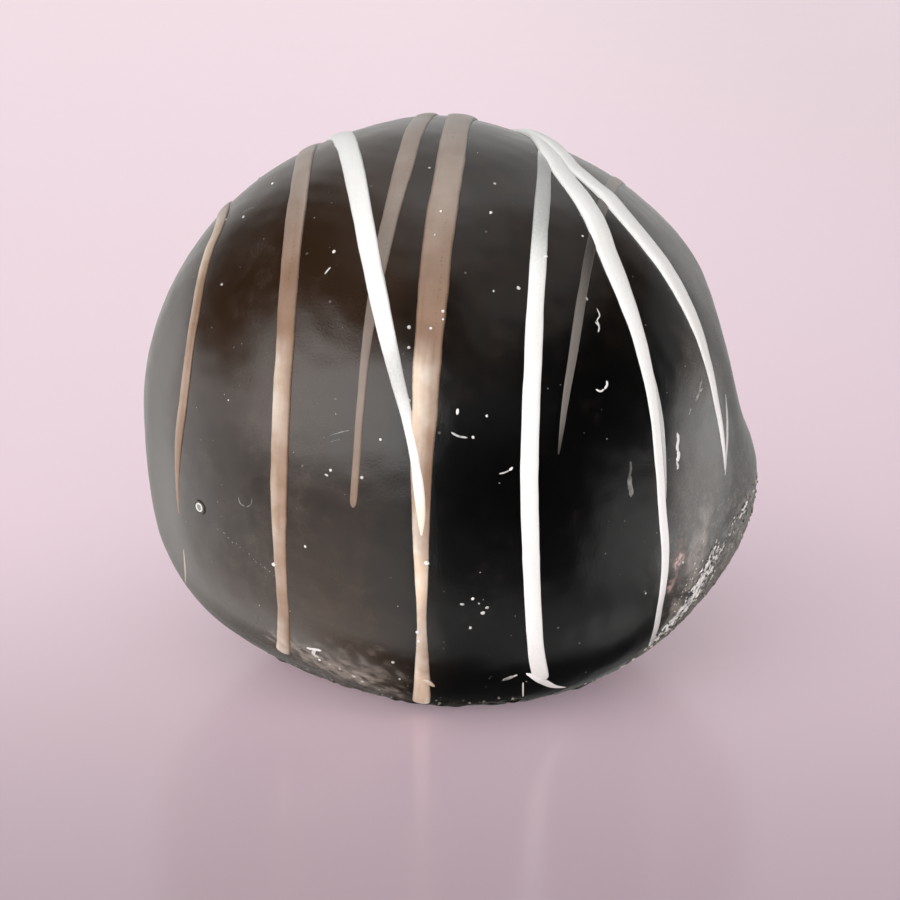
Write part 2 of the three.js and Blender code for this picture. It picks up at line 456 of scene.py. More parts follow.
def chipSockets(tree):
    look = {
        # the pale end stands partly for painted sparkle on the crust
        "stops": [(0.1, (0.020, 0.014, 0.010)), (0.5, (0.11, 0.092, 0.072)), (0.9, (0.62, 0.58, 0.50))],
        "gloss": 0.14,
    }
    place = benchPlace(tree)
    fleck = cloud(tree, place, 2.2, 3)
    toned = readValue(tree, "tone") + (fleck - 0.5) * 0.5
    colour = addNode(tree, "ShaderNodeValToRGB", {"stops": look["stops"]}, {"Fac": toned})
    gloss = look["gloss"] + fleck * 0.10
    grain = cloud(tree, place, 9, 3)
    return {"Base Color": colour, "Roughness": gloss, "Normal": bumped(tree, grain, 0.5, 0.03)}


darkFinish = newFinish("darkChocolate", darkSockets, {"IOR": 1.5})
milkFinish = newFinish("milkChocolate", milkSockets, {"IOR": 1.48})
whiteFinish = newFinish("whiteChocolate", whiteSockets, {"IOR": 1.46})
dustAndHighlightFinish = newFinish("sugarDustAndPaintedHighlights", dustAndHighlightSockets, {"IOR": 1.5})
chipFinish = newFinish("brokenChocolateAndSparkle", chipSockets, {"IOR": 1.5})
print("finishes made")


# The dark ball

shell = {
    "splits": 94,  # of each edge of the icosahedron that it starts as
    "wave": (0.020, 5.5),  # mm high, mm long: what a gloved hand leaves
    "dimple": (0.006, 1.6),
    "crustAt": (88, -36, 25.5),  # turn, tilt and degrees across of the rough patch low on the right
    "crustRelief": (0.042, 0.6),
    "footRelief": (0.05, 0.9),
    "footBelt": 1.0,  # mm above the foot that is ragged
    "footCrust": 0.12,  # how much of the crust's colour it has
    # reddish and dusty smears: degrees over, mm to the right, mm high, mm wide, how strong
    "stains": [(116, 11.6, 1.5, 0.9, 1), (122, 11.3, 1.0, 0.6, 0.8)],
    "powders": [
        (134.5, -5.3, 3.6, 5.6, 0.35), (134.5, -6.3, 2.2, 3.2, 0.75), (137, -4.7, 2.0, 2.9, 0.85),
        (139.5, -3.3, 1.6, 2.4, 0.5), (132.5, -8.0, 1.6, 2.2, 0.55),
        (120, 12.6, 3.2, 1.5, 0.5), (127, 12.6, 2.6, 1.3, 0.5), (134, 11.6, 1.8, 1.3, 0.6),
        (112, 12.9, 2.4, 1.0, 0.4), (-118, 5.5, 1.6, 2.4, 0.5), (-96, -7.0, 2.2, 1.6, 0.5),
    ],
}


def crustAmount(ways, points):
    turn, tilt, wide = shell["crustAt"]
    edge = wide + 2.2 * ripples(points, 4.0, 3) + 1.6 * ripples(points, 1.1, 4)
    patch = smoothStep(edge - degreesFrom(ways, turn, tilt), -1.5, 4.0)
    belt = smoothStep(shell["footBelt"] + 0.5 * ripples(points, 2.5, 5) - points[:, 2], -0.1, 0.5)
    return patch, belt


def smears(points, marks, ragged, seed):
    # 1 inside soft-edged ovals on the skin, 0 away from them
    ragged = ragged * ripples(points, 0.9, seed)
    most = np.zeros(len(points))
    for over, side, high, wide, strength in marks:
        centre = onSkin([over], [side])[0]
        out = facing(centre[None])[0]
        across = unitRows(np.cross([0, 0, 1.0], out))
        apart = points - centre
        away = np.hypot(apart @ across / wide, apart @ np.cross(out, across) / high) * 2
        near = np.linalg.norm(apart, axis=1) < 2 * max(high, wide)
        amount = strength * smoothStep(1.0 + ragged - away, -0.5, 0.7)
        most = np.maximum(most, np.where(near, amount, 0))
    return most


def handWaves(points):
    # mm that the skin is off its smooth form
    (wave, waveLength), (dimple, dimpleLength) = shell["wave"], shell["dimple"]
    return wave * ripples(points, waveLength, 11) + dimple * ripples(points, dimpleLength, 12)


def makeShell():
    ways, faces = geodesic(shell["splits"])
    points = skin(ways)
    patch, belt = crustAmount(ways, points)
    rise = handWaves(points)
    rough = np.abs(ripples(points, shell["crustRelief"][1], 13)) - 0.35
    rise += patch * shell["crustRelief"][0] * rough
    rise += belt * shell["footRelief"][0] * ripples(points, shell["footRelief"][1], 14)
    flat = smoothStep(points[:, 2], 0.0, 0.35)  # the foot itself stays flat
    points = points + ways * (rise * flat)[:, None]
    points[:, 2] = np.maximum(points[:, 2], 0)
    values = {
        "crust": np.maximum(patch, belt * shell["footCrust"]),
        "stain": smears(points, shell["stains"], 0.30, 15),
        "powder": smears(points, shell["powders"], 0.4, 16),
    }
    return newPiece("chocolateBall", points, faces.tolist(), darkFinish, values)


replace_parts(makeShell(), "praline")


# The drizzle. Marks are degrees over the ball from its crown (front positive), mm to the right
# of its middle, mm wide, and tone: above 0 paler, below 0 thin enough for the dark to show through.
# Some of the paler and greyer tones are painted light and painted shade, as said at those lines.

milk = {
    "share": 0.15,  # height of a line above the ball, as a share of its width
    "routes": [
        # from the left edge of the front to the right
        # its paler stretch from 8 to 32 degrees over is a painted highlight
        [(-112, -10.6, 0.5, 0.1), (-60, -11.1, 0.8, 0), (-6, -11.5, 0.95, 0.1),
         (8, -11.48, 0.9, 0.4), (15, -11.6, 0.88, 0.55), (20, -11.86, 0.86, 0.6),
         (26, -12.1, 0.84, 0.55), (32, -12.26, 0.82, 0.4), (40, -12.4, 0.8, 0.25),
         (49, -12.58, 0.8, 0.2), (58, -12.77, 0.79, 0.2), (70, -13.02, 0.78, 0.22),
         (84, -13.3, 0.72, 0.2), (97, -13.42, 0.45, 0.05), (112, -13.4, 0.16, -0.2)],
        [(-134, -5.2, 0.7, 0.2), (-70, -5.6, 0.95, 0), (-8, -7.08, 1.05, -0.16),
         (20, -7.28, 1.12, -0.12), (42, -7.55, 1.1, -0.05), (54, -7.68, 1.1, -0.12),
         (63, -7.76, 1.06, 0.3), (72, -7.88, 1.04, 0.36), (83, -7.99, 1.04, 0.24),
         (91, -8.05, 0.98, 0.24), (101, -8.06, 0.82, 0.28), (112, -8.03, 0.7, 0.22),
         (120, -8.0, 0.73, 0.2), (128, -8.08, 0.77, 0.45), (141, -8.25, 0.8, 0.65)],
        [(-118, 1.6, 0.6, -0.2), (-55, 0.3, 0.95, 0), (0, -1.35, 1, -0.2), (25, -2.15, 0.98, -0.2),
         (46, -3.1, 0.78, -0.35), (64, -3.8, 0.48, -0.34), (93, -4.45, 0.38, -0.2)],
        # its pale middle from 63 to 76 degrees over is partly a painted highlight, and its foot is painted
        # paler against the shade low down
        [(-139, 2.6, 1, 0.4), (-65, 2.4, 1.3, 0), (-6, 0.75, 1.35, -0.2), (25, 0.17, 1.45, -0.1),
         (42, -0.33, 1.5, -0.08), (56, -0.66, 1.45, -0.12), (63, -0.8, 1.38, 0.14),
         (68, -0.9, 1.34, 0.48), (76, -1.0, 1.28, 0.52), (84, -1.14, 1.1, 0.32),
         (91, -1.17, 0.94, 0.3), (98, -1.18, 0.8, 0.36), (105, -1.16, 0.68, 0.95),
         (113, -1.16, 0.5, 0.5), (124, -1.16, 0.7, 0.45), (134, -1.19, 0.86, 1.15),
         (145, -1.26, 0.98, 1.7)],
        [(-104, 8.9, 0.4, -0.4), (-50, 9.9, 0.6, -0.1), (8, 8.5, 0.65, -0.3),
         (36, 7.25, 0.57, -0.9), (50, 6.65, 0.52, -0.7), (62, 6.18, 0.48, -0.5),
         (73, 5.72, 0.36, -0.55), (84, 5.38, 0.12, -0.9)],
        # a short mark low at the far left, and a smear at the wide line's foot
        [(122, -13.3, 0.12, 0.4), (136, -13.35, 0.2, 0.5), (151, -13.5, 0.12, 0.4)],
        [(129, -1.1, 0.35, 0.8), (131, -0.8, 0.3, 0.8), (133, -0.55, 0.16, 0.8)],
    ],
}
white = {
    "share": 0.18,
    "routes": [
        # the long one right of the middle, then its hooked foot
        # its greyer stretch from 10 to 38 degrees over is partly painted shade on its upturned top
        [(-138, 5.3, 0.8, 0), (-75, 3.9, 0.95, 0), (0, 5.05, 0.66, -0.2), (10, 4.97, 0.7, -0.4),
         (16, 4.93, 0.73, -0.75), (24, 4.86, 0.76, -0.72), (38, 4.6, 0.84, -0.62),
         (48, 4.43, 0.86, -0.2), (60, 4.25, 0.88, 0), (88, 4, 0.9, 0), (121, 4.4, 0.84, 0),
         (130, 4.66, 0.84, 0), (134.5, 4.86, 0.72, 0)],
        [(129.4, 3.95, 0.1, 0), (131.5, 4.4, 0.34, 0), (135.5, 4.95, 0.42, 0), (140, 5.5, 0.3, 0),
         (145, 6.3, 0.08, 0)],
        # the one that crosses two milk lines at the left
        [(-129, -7.6, 0.8, 0), (-70, -7.9, 1.1, 0), (-3, -5.4, 1.15, 0), (38, -3.95, 1.02, 0),
         (58, -2.98, 0.9, -0.08), (68, -2.38, 0.74, -0.55), (76, -1.84, 0.58, -0.35),
         (83, -1.46, 0.5, 0.1), (89, -1.25, 0.58, 0.35), (93.5, -1.16, 0.46, 0.75),
         (97.5, -1.14, 0.14, 1.0)],
        # at the back alone
        [(-16, 7.4, 0.4, 0), (-24, 8.2, 0.7, 0), (-50, 10.4, 1, 0), (-84, 11.9, 0.85, 0),
         (-120, 11.6, 0.6, 0)],
        # a thin grey skirt to the right of the next one, partly a painted highlight along that line's edge
        [(64, 10.0, 0.14, -0.4), (70, 10.28, 0.28, -0.5), (77, 10.5, 0.36, -0.55),
         (84, 10.64, 0.34, -0.6), (91, 10.74, 0.24, -0.65), (98, 10.8, 0.1, -0.8)],
        # up the right of the front and over the crown
        [(147, 10.42, 0.2, -0.7), (136, 10.6, 0.4, -0.5), (126, 10.74, 0.46, -0.35),
         (119, 10.86, 0.5, -0.1), (111, 10.86, 0.55, 0), (104, 10.72, 0.56, 0), (98, 10.6, 0.54, 0),
         (91, 10.5, 0.55, 0), (85, 10.38, 0.56, 0), (79, 10.26, 0.57, 0), (73, 10.1, 0.64, 0),
         (67, 9.88, 0.74, 0), (62, 9.63, 0.84, 0), (56, 9.27, 0.95, 0), (50, 8.82, 1.07, 0),
         (41, 8.08, 1.22, 0), (31, 7.28, 1.32, 0), (22, 6.34, 1.34, 0), (13, 5.44, 1.2, -0.05),
         (4, 5.0, 1.05, 0), (-8, 4.75, 0.95, 0), (-24, 5.2, 0.95, 0), (-50, 7.0, 1, 0),
         (-84, 8.4, 0.9, 0), (-122, 8.7, 0.65, 0)],
        # the next one to the right, which crosses it at the crown, and a strand beside its end
        [(101, 14.1, 0.1, -0.5), (92, 14.0, 0.3, -0.2), (81, 13.8, 0.48, -0.1),
         (60, 13.13, 0.68, -0.2), (46, 12.34, 1.04, -0.15), (34, 10.85, 1.34, -0.1),
         (25, 9.04, 1.38, -0.05), (16, 7.27, 1.38, -0.05), (10.5, 6.12, 1.3, -0.05),
         (3, 5.3, 1.1, 0), (-8, 4.45, 1, 0), (-18, 3.5, 0.95, 0), (-32, 1.6, 0.95, 0),
         (-52, -0.9, 1, 0), (-74, -1.8, 0.95, 0), (-96, -1.4, 0.9, 0), (-133, -0.6, 0.75, 0)],
        [(66, 14.08, 0.12, -0.7), (74, 14.16, 0.24, -0.55), (84, 14.18, 0.26, -0.5),
         (92, 14.12, 0.2, -0.5), (101, 14.07, 0.1, -0.7)],
    ],
}
drizzle = {
    "gap": 0.2,  # mm between sections
    "sides": 20,
    "sink": 0.1,  # mm that the underside is in the ball
    "lay": 0.85,  # how much of a line below is felt by one that crosses it
}


def smoothRoute(marks, gap):
    # an even walk along the marks, on a centripetal Catmull-Rom curve
    marks = np.array([(math.radians(over) * ball["radius"], *rest) for over, *rest in marks])
    marks = np.vstack([2 * marks[0] - marks[1], marks, 2 * marks[-1] - marks[-2]])
    apart = np.linalg.norm(np.diff(marks[:, :3], axis=0), axis=1)
    knots = np.concatenate([[0], np.cumsum(np.sqrt(apart))])
    walk = []
    for i in range(1, len(marks) - 2):
        t = np.linspace(knots[i], knots[i + 1], 60, endpoint=False)[:, None]
        k, p = knots[i - 1:i + 3], marks[i - 1:i + 3]
        for spans in (((0, 1), (1, 2), (2, 3)), ((0, 2), (1, 3)), ((1, 2),)):
            p = [
                ((k[b] - t) * p[n] + (t - k[a]) * p[n + 1]) / (k[b] - k[a])
                for n, (a, b) in enumerate(spans)
            ]
        walk.append(p[0])
    walk = np.concatenate(walk + [marks[-2:-1]])
    length = np.concatenate([[0], np.cumsum(np.linalg.norm(np.diff(walk[:, :2], axis=0), axis=1))])
    even = np.linspace(0, length[-1], max(8, int(length[-1] / gap)))
    return np.stack([np.interp(even, length, column) for column in walk.T], axis=1), even


def layLine(marks, share, below, seed, settle=0.02):
    # below: the ridges (points, widths, heights) of the lines under it
    walk, along = smoothRoute(marks, drizzle["gap"])
    distance, side, width, tone = walk.T
    at = onSkin(np.degrees(distance / ball["radius"]), side)
    out = facing(at)
    at = at + out * handWaves(at)[:, None]
    ahead = unitRows(np.gradient(at, axis=0))
    beside = unitRows(np.cross(ahead, out))
    width = width * (1 + 0.022 * ripples(at, 5.0, seed) + 0.008 * ripples(at, 1.2, seed + 1))
    lift = np.zeros(len(at))
    for otherAt, otherWidth, otherHeight in below:
        apart = np.linalg.norm(at[:, None] - otherAt[None], axis=2)
        nearest = apart.argmin(axis=1)
        reachOut = otherWidth[nearest] * 0.5 + width * 0.25
        overlap = np.clip(1 - (apart.min(axis=1) / reachOut) ** 2, 0, 1)
        lift = np.maximum(lift, drizzle["lay"] * otherHeight[nearest] * np.sqrt(overlap))
    soft = np.hanning(9) / np.hanning(9).sum()
    lift = np.convolve(np.pad(lift, 4, mode="edge"), soft, mode="valid")
    tip = np.minimum(along, along[-1] - along) / (0.75 * width.mean())
    tip = np.sqrt(np.clip(1 - (1 - np.minimum(tip, 1)) ** 2, 0.02, 1))
    height = share * width * tip * (1 + 0.05 * ripples(at, 4.0, seed + 2))
    turn = np.arange(drizzle["sides"]) * 2 * math.pi / drizzle["sides"]
    cos, sin = np.cos(turn), np.sin(turn)
    rise = np.where(sin > 0, np.abs(sin) ** 0.7, 0)
    edge = 1 + 0.018 * np.stack([ripples(at, 2.2, seed + 3), ripples(at, 2.2, seed + 4)], axis=1)
    half = 0.5 * (width * tip)[:, None] * np.where(cos > 0, edge[:, :1], edge[:, 1:]) * cos
    up = height[:, None] * rise + np.where(sin > 0, 0, -drizzle["sink"] * np.abs(sin))
    up = up + lift[:, None] * np.clip(rise * 1.2, 0, 1)
    points = at[:, None] + beside[:, None] * half[:, :, None] + out[:, None] * (up - settle)[:, :, None]
    rings, sides = len(at), drizzle["sides"]
    faces = [
        (r * sides + s, r * sides + t, (r + 1) * sides + t, (r + 1) * sides + s)
        for r in range(rings - 1) for s, t in around(sides)
    ]
    faces += [tuple(range(sides))[::-1], tuple((rings - 1) * sides + s for s in range(sides))]
    values = {
        "along": np.repeat(along + seed * 7.0, sides),
        "across": np.tile(cos, rings) * np.repeat(width, sides) * 0.5,
        "rim": np.tile(np.abs(cos), rings),
        "tone": np.repeat(tone, sides),
    }
    return (points.reshape(-1, 3), faces, values), (at, width, height + lift)


def layAll(name, kind, below, seed, finish):
    parts = []
    laid = list(below)
    for number, marks in enumerate(kind["routes"]):
        (points, faces, values), ridge = layLine(marks, kind["share"], laid, seed + number * 10)
        parts.append((points, faces, values))
        laid.append(ridge)
    points, faces, values = joined(parts)
    piece = newPiece(name, points, faces, finish, values)
    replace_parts(piece, "praline")
    return laid


laidMilk = layAll("milkLines", milk, [], 100, milkFinish)
layAll("whiteLines", white, laidMilk, 300, whiteFinish)


# Small things: dust, white drops and scuffs (some of them painted highlights), chips and painted glints along
# the crust, a burst bubble with a painted highlight

def pebbles(places, sizes, tones, flatness, seed):
    # small uneven lumps that lie on the skin at (over, side)
    draw = np.random.default_rng(seed)
    ways, faces = geodesic(3)
    at = onSkin(*np.array(places, float).T)
    out = facing(at)
    at = at + out * handWaves(at)[:, None]
    parts = []
    for centre, normal, size, tone in zip(at, out, sizes, tones):
        across = unitRows(np.cross(normal, draw.normal(size=3)))
        along = np.cross(normal, across)
        scale = size * np.array([draw.uniform(0.8, 1.2), draw.uniform(0.65, 1.0), flatness])
        bent = ways * (1 + 0.125 * ripples(ways, 1.6, int(draw.integers(1e6)), 8)[:, None])
        points = centre + (bent * scale) @ np.array([across, along, normal])
        parts.append((points, faces.tolist(), {"tone": np.full(len(points), tone)}))
    return joined(parts)


dust = {
    "size": (0.055, 0.105),
    "shown": [
        (24, -0.8), (33, -2.2), (43, -5.4), (28, 2.4), (36, 2.2), (45, 4.8), (53, 2.3), (52, 3.5), (52, 6.8),
        (37, 6.7), (19, -10.2), (12, -11.2), (11, -8.8), (40, -11.1), (72, -10.6), (80, -3.1), (86, -5.5),
        (87, -5.7), (87, -4.0), (102, -6.8), (79.5, 1.3), (75.8, 1.95), (125, -2.6), (131, -2.3), (115, 1.2),
        (109, 1.3), (110, 1.6), (110, 0.8), (111, 2.0), (112, 1.8), (119, 9.9), (129, -6.8), (133, -6.3),
        (60, -1.74), (63.7, -1.74), (73.1, -1.69),
    ],
    "trails": [((104.9, -11.57), (110.6, -8.5), 26), ((62, -2.1), (78, -1.95), 7)],  # ends, how many
    "trailSize": (0.02, 0.042),
    "elsewhere": 46,  # more of them, strewn over the back and sides
    "fine": 240,  # and a finer dust all over
    "fineSize": (0.018, 0.035),
    "flatness": 0.55,
}


def makeDust():
    draw = np.random.default_rng(21)
    places = list(dust["shown"])
    places += [(-draw.uniform(5, 135), draw.uniform(-12, 12)) for _ in range(dust["elsewhere"])]
    sizes = list(draw.uniform(*dust["size"], len(places)))
    tones = list(draw.uniform(0.45, 1.0, len(places)))
    for (over, side), (overEnd, sideEnd), count in dust["trails"]:
        for step in np.linspace(0, 1, count):
            strayOver, straySide = draw.normal(0, 0.07, 2)
            places.append((
                over + (overEnd - over) * step + strayOver * 4,
                side + (sideEnd - side) * step + straySide,
            ))
            sizes.append(draw.uniform(*dust["trailSize"]))
            tones.append(draw.uniform(0.0, 0.5))
    for _ in range(dust["fine"]):
        places.append((draw.uniform(-140, 140), draw.uniform(-14, 14)))
        sizes.append(draw.uniform(*dust["fineSize"]))
        tones.append(draw.uniform(0.0, 0.6))
    points, faces, values = pebbles(places, sizes, tones, dust["flatness"], 22)
    newPiece("sugarSpecks", points, faces, dustAndHighlightFinish, values)


beadsAndHighlights = {
    "splits": 5,
    "shown": [  # small drops that sit on lines, some of them painted highlights on bumps: over, side, mm across, mm above the ball
        (108, -8.36, 0.11, 0.03), (102, -0.9, 0.13, 0.08), (116, -1.36, 0.09, 0.05), (118, -1.3, 0.07, 0.08),
        (37.1, -0.23, 0.06, 0.25), (42.4, -0.51, 0.05, 0.25), (79.6, -1.66, 0.1, 0.06),
        (57.4, -0.12, 0.08, 0.2), (58.9, -0.12, 0.06, 0.2), (60.5, -0.69, 0.07, 0.22), (44.8, 4.8, 0.09, 0.14),
    ],
}


def makeBeadsAndHighlights():
    over, side, size, lift = np.array(beadsAndHighlights["shown"]).T
    at = onSkin(over, side)
    ways, faces = geodesic(beadsAndHighlights["splits"])
    bent = ways * (1 + 0.08 * ripples(ways, 1.5, 23)[:, None])
    parts = [
        (centre + normal * above + bent * radius, faces.tolist(), {"tone": np.ones(len(ways))})
        for centre, normal, radius, above in zip(at, facing(at), size, lift)
    ]
    points, faces, values = joined(parts)
    newPiece("whiteBeadsAndPaintedHighlights", points, faces, dustAndHighlightFinish, values)


# scuffs on the skin, and a few painted highlights laid the same way
scuffsAndHighlights = {
    "share": 0.1,
    "routes": [  # mm wide, how fresh it is, then where it runs
        (0.09, 0.6, [(47.7, -5.83), (47.0, -5.69), (46.4, -5.54)]),
        (0.13, 1.0, [(74.5, 0.58), (75.6, 0.55)]),
        (0.10, 0.5, [(78.6, 0.25), (79.3, 0.6), (79.6, 1.05)]),
        (0.07, 0.6, [(86.1, 2.55), (85.9, 2.8), (85.5, 3.05)]),
        (0.12, 0.9, [(85.5, 3.02), (85.2, 3.14), (84.9, 3.18)]),
        (0.26, 0.4, [(130.8, 2.8), (130.3, 3.1), (129.7, 3.4)]),
        (0.16, 0.75, [(129.9, 3.35), (129.5, 3.55)]),
        (0.07, 1.0, [(133, 3.85), (142, 3.9)]),
        (0.06, 0.8, [(53.6, 7.3), (55.2, 7.45), (56.2, 7.3), (57.3, 7.45)]),
        (0.07, 0.8, [(56.6, 7.2), (57.5, 7.4), (58.8, 7.35)]),
        (0.12, 1.0, [(68.6, 7.74), (69.5, 7.76), (70.4, 7.62)]),
        (0.09, 0.9, [(70.4, 7.62), (70.9, 7.42), (70.5, 7.2)]),
        (0.20, 0.9, [(80.2, 11.36), (82, 11.42), (84, 11.36), (85.5, 11.42)]),
        (0.24, 1.1, [(85, 11.4), (86.4, 11.44), (88, 11.36)]),
        (0.14, 0.7, [(88, 11.34), (89.2, 11.42), (90, 11.38)]),
        (0.16, 0.22, [(64, 12.72), (66.7, 12.6), (69.5, 12.52), (71.5, 12.35)]),
        (0.10, 0.35, [(67, 12.74), (68.4, 12.62)]),
        (0.10, 0.3, [(73.6, 12.12), (75.6, 12.0)]),
        (0.22, 1.0, [(129.5, -6.95), (128.5, -6.55), (127.5, -6.15)]),
        (0.20, 0.8, [(128.6, -6.5), (130.5, -6.6), (132.6, -6.5)]),
        (0.05, 0.3, [(95.0, -10.15), (96.5, -10.05), (96.9, -9.8)]),
        (0.05, 0.2, [(96.9, -9.75), (96.0, -9.5), (94.4, -9.42)]),
        (0.05, 0.15, [(79.6, -5.6), (78.8, -5.0), (78.4, -4.5)]),
        (0.04, 0.1, [(80.6, -5.5), (80.1, -5.0)]),
        # these two are a painted highlight, a faint oval, not scuffs
        (0.14, 0.12, [(85.6, 8.95), (87.5, 8.98), (89, 8.9)]),
        (0.26, 0.18, [(88.6, 8.93), (90.6, 8.92), (92.4, 9.0), (93.6, 8.98)]),
        (0.04, 0.2, [(16, -10.3), (17, -9.9), (18.2, -9.6)]),
        (0.05, 0.3, [(-38, 8.4), (-41, 8.2), (-43, 8.5)]),
        (0.07, 0.6, [(-88, -9.4), (-90, -9.0), (-93, -9.1)]),
        (0.05, 0.3, [(-72, 0.9), (-73.5, 1.5)]),
        (0.07, 0.5, [(-110, 6.9), (-113, 6.7), (-115, 7.0), (-114, 7.3)]),
    ],
}


def makeScuffsAndHighlights():
    parts = []
    for number, (width, fresh, places) in enumerate(scuffsAndHighlights["routes"]):
        marks = [(over, side, width, fresh) for over, side in places]
        part, _ = layLine(marks, scuffsAndHighlights["share"], [], 500 + number * 10, settle=0.0)
        parts.append(part)
    points, faces, values = joined(parts)
    newPiece("scuffsAndHighlights", points, faces, dustAndHighlightFinish, values)


chips = {
    "count": 420,  # round the crust's edge
    "size": (0.03, 0.12),
    "astray": 4.5,  # degrees in from that edge
    "lowest": -0.8,  # height of the direction that none goes below
    "footCount": 260,
    "footSize": (0.03, 0.09),
    "footTilt": (-58, -49),  # degrees above the ball's middle
    "crumbs": [  # on the dusty haze at the left: over, side, mm
        (131.5, -6.4, 0.12), (133.5, -5.8, 0.09), (134, -5.3, 0.13), (136, -4.6, 0.1), (138, -4.2, 0.08),
    ],
}


def makeChips():
    draw = np.random.default_rng(31)
    turn, tilt, wide = shell["crustAt"]
    middle = bearing(turn, tilt)
    across = unitRows(np.cross(middle, [0, 0, 1]))
    up = np.cross(across, middle)
    spin = draw.uniform(0, 2 * math.pi, chips["count"])
    far = np.radians(wide - np.abs(draw.normal(0, chips["astray"], chips["count"])) + 1)
    outward = np.cos(spin)[:, None] * across + np.sin(spin)[:, None] * up
    ways = np.cos(far)[:, None] * middle + np.sin(far)[:, None] * outward
    ways = ways[ways[:, 2] > chips["lowest"]]
    footTurn = draw.uniform(0, 2 * math.pi, chips["footCount"])
    footTilt = np.radians(draw.uniform(*chips["footTilt"], chips["footCount"]))
    level = np.cos(footTilt)
    footWays = np.stack([np.sin(footTurn) * level, -np.cos(footTurn) * level, np.sin(footTilt)], axis=1)
    crumbOver, crumbSide, crumbSizes = np.array(chips["crumbs"]).T
    at = np.concatenate([skin(ways), skin(footWays), onSkin(crumbOver, crumbSide)])
    sizes = np.concatenate([
        draw.uniform(*chips["size"], len(ways)),
        draw.uniform(*chips["footSize"], len(footWays)),
        crumbSizes,
    ])
    tones = np.concatenate([
        draw.uniform(0, 1.1, len(ways)),
        draw.uniform(0, 0.8, len(footWays)),
        np.ones(len(crumbSizes)),
    ])
    lump, faces = geodesic(1)
    parts = []
    for centre, normal, size, tone in zip(at, facing(at), sizes, tones):
        side = unitRows(np.cross(normal, draw.normal(size=3)))
        axes = np.array([side, np.cross(normal, side), normal])
        scale = size * draw.uniform((0.7, 0.5, 0.35), (1.6, 1.0, 0.7))
        points = centre + (lump * draw.uniform(0.7, 1.3, (len(lump), 1)) * scale) @ axes
        points[:, 2] = np.maximum(points[:, 2], 0.0)
        parts.append((points, faces.tolist(), {"tone": np.full(len(points), tone)}))
    points, faces, values = joined(parts)
    piece = newPiece("crustChips", points, faces, chipFinish, values)
    piece.data.polygons.foreach_set("use_smooth", [False] * len(piece.data.polygons))


paintedGlints = {
    # rows of pale slivers, painted glints of sparkle: from (over, side) to (over, side), how many, mm astray,
    # mm long
    "rows": [
        ((127.2, 13.62), (136, 12.62), 92, 0.30, (0.03, 0.20)),
        ((135.5, 12.6), (140.2, 11.6), 76, 0.33, (0.03, 0.17)),
        ((140, 11.5), (143.6, 10.68), 50, 0.27, (0.03, 0.14)),
        ((131, 14.15), (141, 12.3), 50, 0.24, (0.03, 0.10)),
        ((134, 15.5), (132.6, 15.1), 16, 0.12, (0.04, 0.17)),
        ((129, 14.9), (133, 13.6), 20, 0.24, (0.03, 0.09)),
        ((116, 12.9), (134, 11.6), 40, 0.36, (0.02, 0.06)),
        ((137, 12.6), (146, 11.4), 30, 0.18, (0.02, 0.08)),
        ((117.6, 11.8), (117.8, 11.9), 2, 0.03, (0.05, 0.08)),
    ],
    "wide": (0.3, 0.6),  # share of the length
    "high": (0.25, 0.4),
    "above": 0.03,  # mm
    "tone": (0.3, 1.2),
}


def makePaintedGlints():
    draw = np.random.default_rng(32)
    lump, faces = geodesic(2)
    parts = []
    for start, end, count, astray, (short, long) in paintedGlints["rows"]:
        ends = onSkin(*np.array([start, end], float).T)
        ahead = unitRows(ends[1] - ends[0])
        places = ends[0] + draw.uniform(0, 1, (count, 1)) * (ends[1] - ends[0])
        places = places + draw.normal(0, 1, (count, 3)) * astray
        at = skin(unitRows(places - ballCentre))
        for centre, normal in zip(at, facing(at)):
            along = unitRows(np.cross(np.cross(normal, ahead + draw.normal(0, 0.25, 3)), normal))
            axes = np.array([along, np.cross(normal, along), normal])
            length = draw.uniform(short, long)
            scale = length * np.array([1, draw.uniform(*paintedGlints["wide"]), draw.uniform(*paintedGlints["high"])])
            bent = lump * (1 + 0.25 * ripples(lump, 1.5, int(draw.integers(1e6)), 8)[:, None])
            points = centre + normal * paintedGlints["above"] + (bent * scale) @ axes
            points[:, 2] = np.maximum(points[:, 2], 0.0)
            tone = draw.uniform(*paintedGlints["tone"])
            parts.append((points, faces.tolist(), {"tone": np.full(len(points), tone)}))
    points, faces, values = joined(parts)
    newPiece("paintedCrustGlints", points, faces, dustAndHighlightFinish, values)


bubble = {
    "at": (102.6, -12.2),
    "lean": (0.2, 0, 1.0),
    # half height, half width and thickness in mm, then mm above the ball
    "rim": (0.30, 0.38, 0.085, 0.0),
    "paintedLipHighlight": (0.198, 0.2356, 0.0425, 0.045),
    "dome": (0.18, 0.209, 0.06),
    "steps": 48,
    "sides": 12,
}


def hoop(tall, wide, thick, lift):
    ring = (np.arange(bubble["steps"]) * 2 * math.pi / bubble["steps"])[:, None]
    tube = np.arange(bubble["sides"]) * 2 * math.pi / bubble["sides"]
    high = np.broadcast_to(lift + thick * 0.8 * np.sin(tube), (bubble["steps"], bubble["sides"]))
    return np.stack([
        (tall + thick * np.cos(tube)) * np.cos(ring),
        (wide + thick * np.cos(tube)) * np.sin(ring),
        high,
    ], axis=2).reshape(-1, 3)


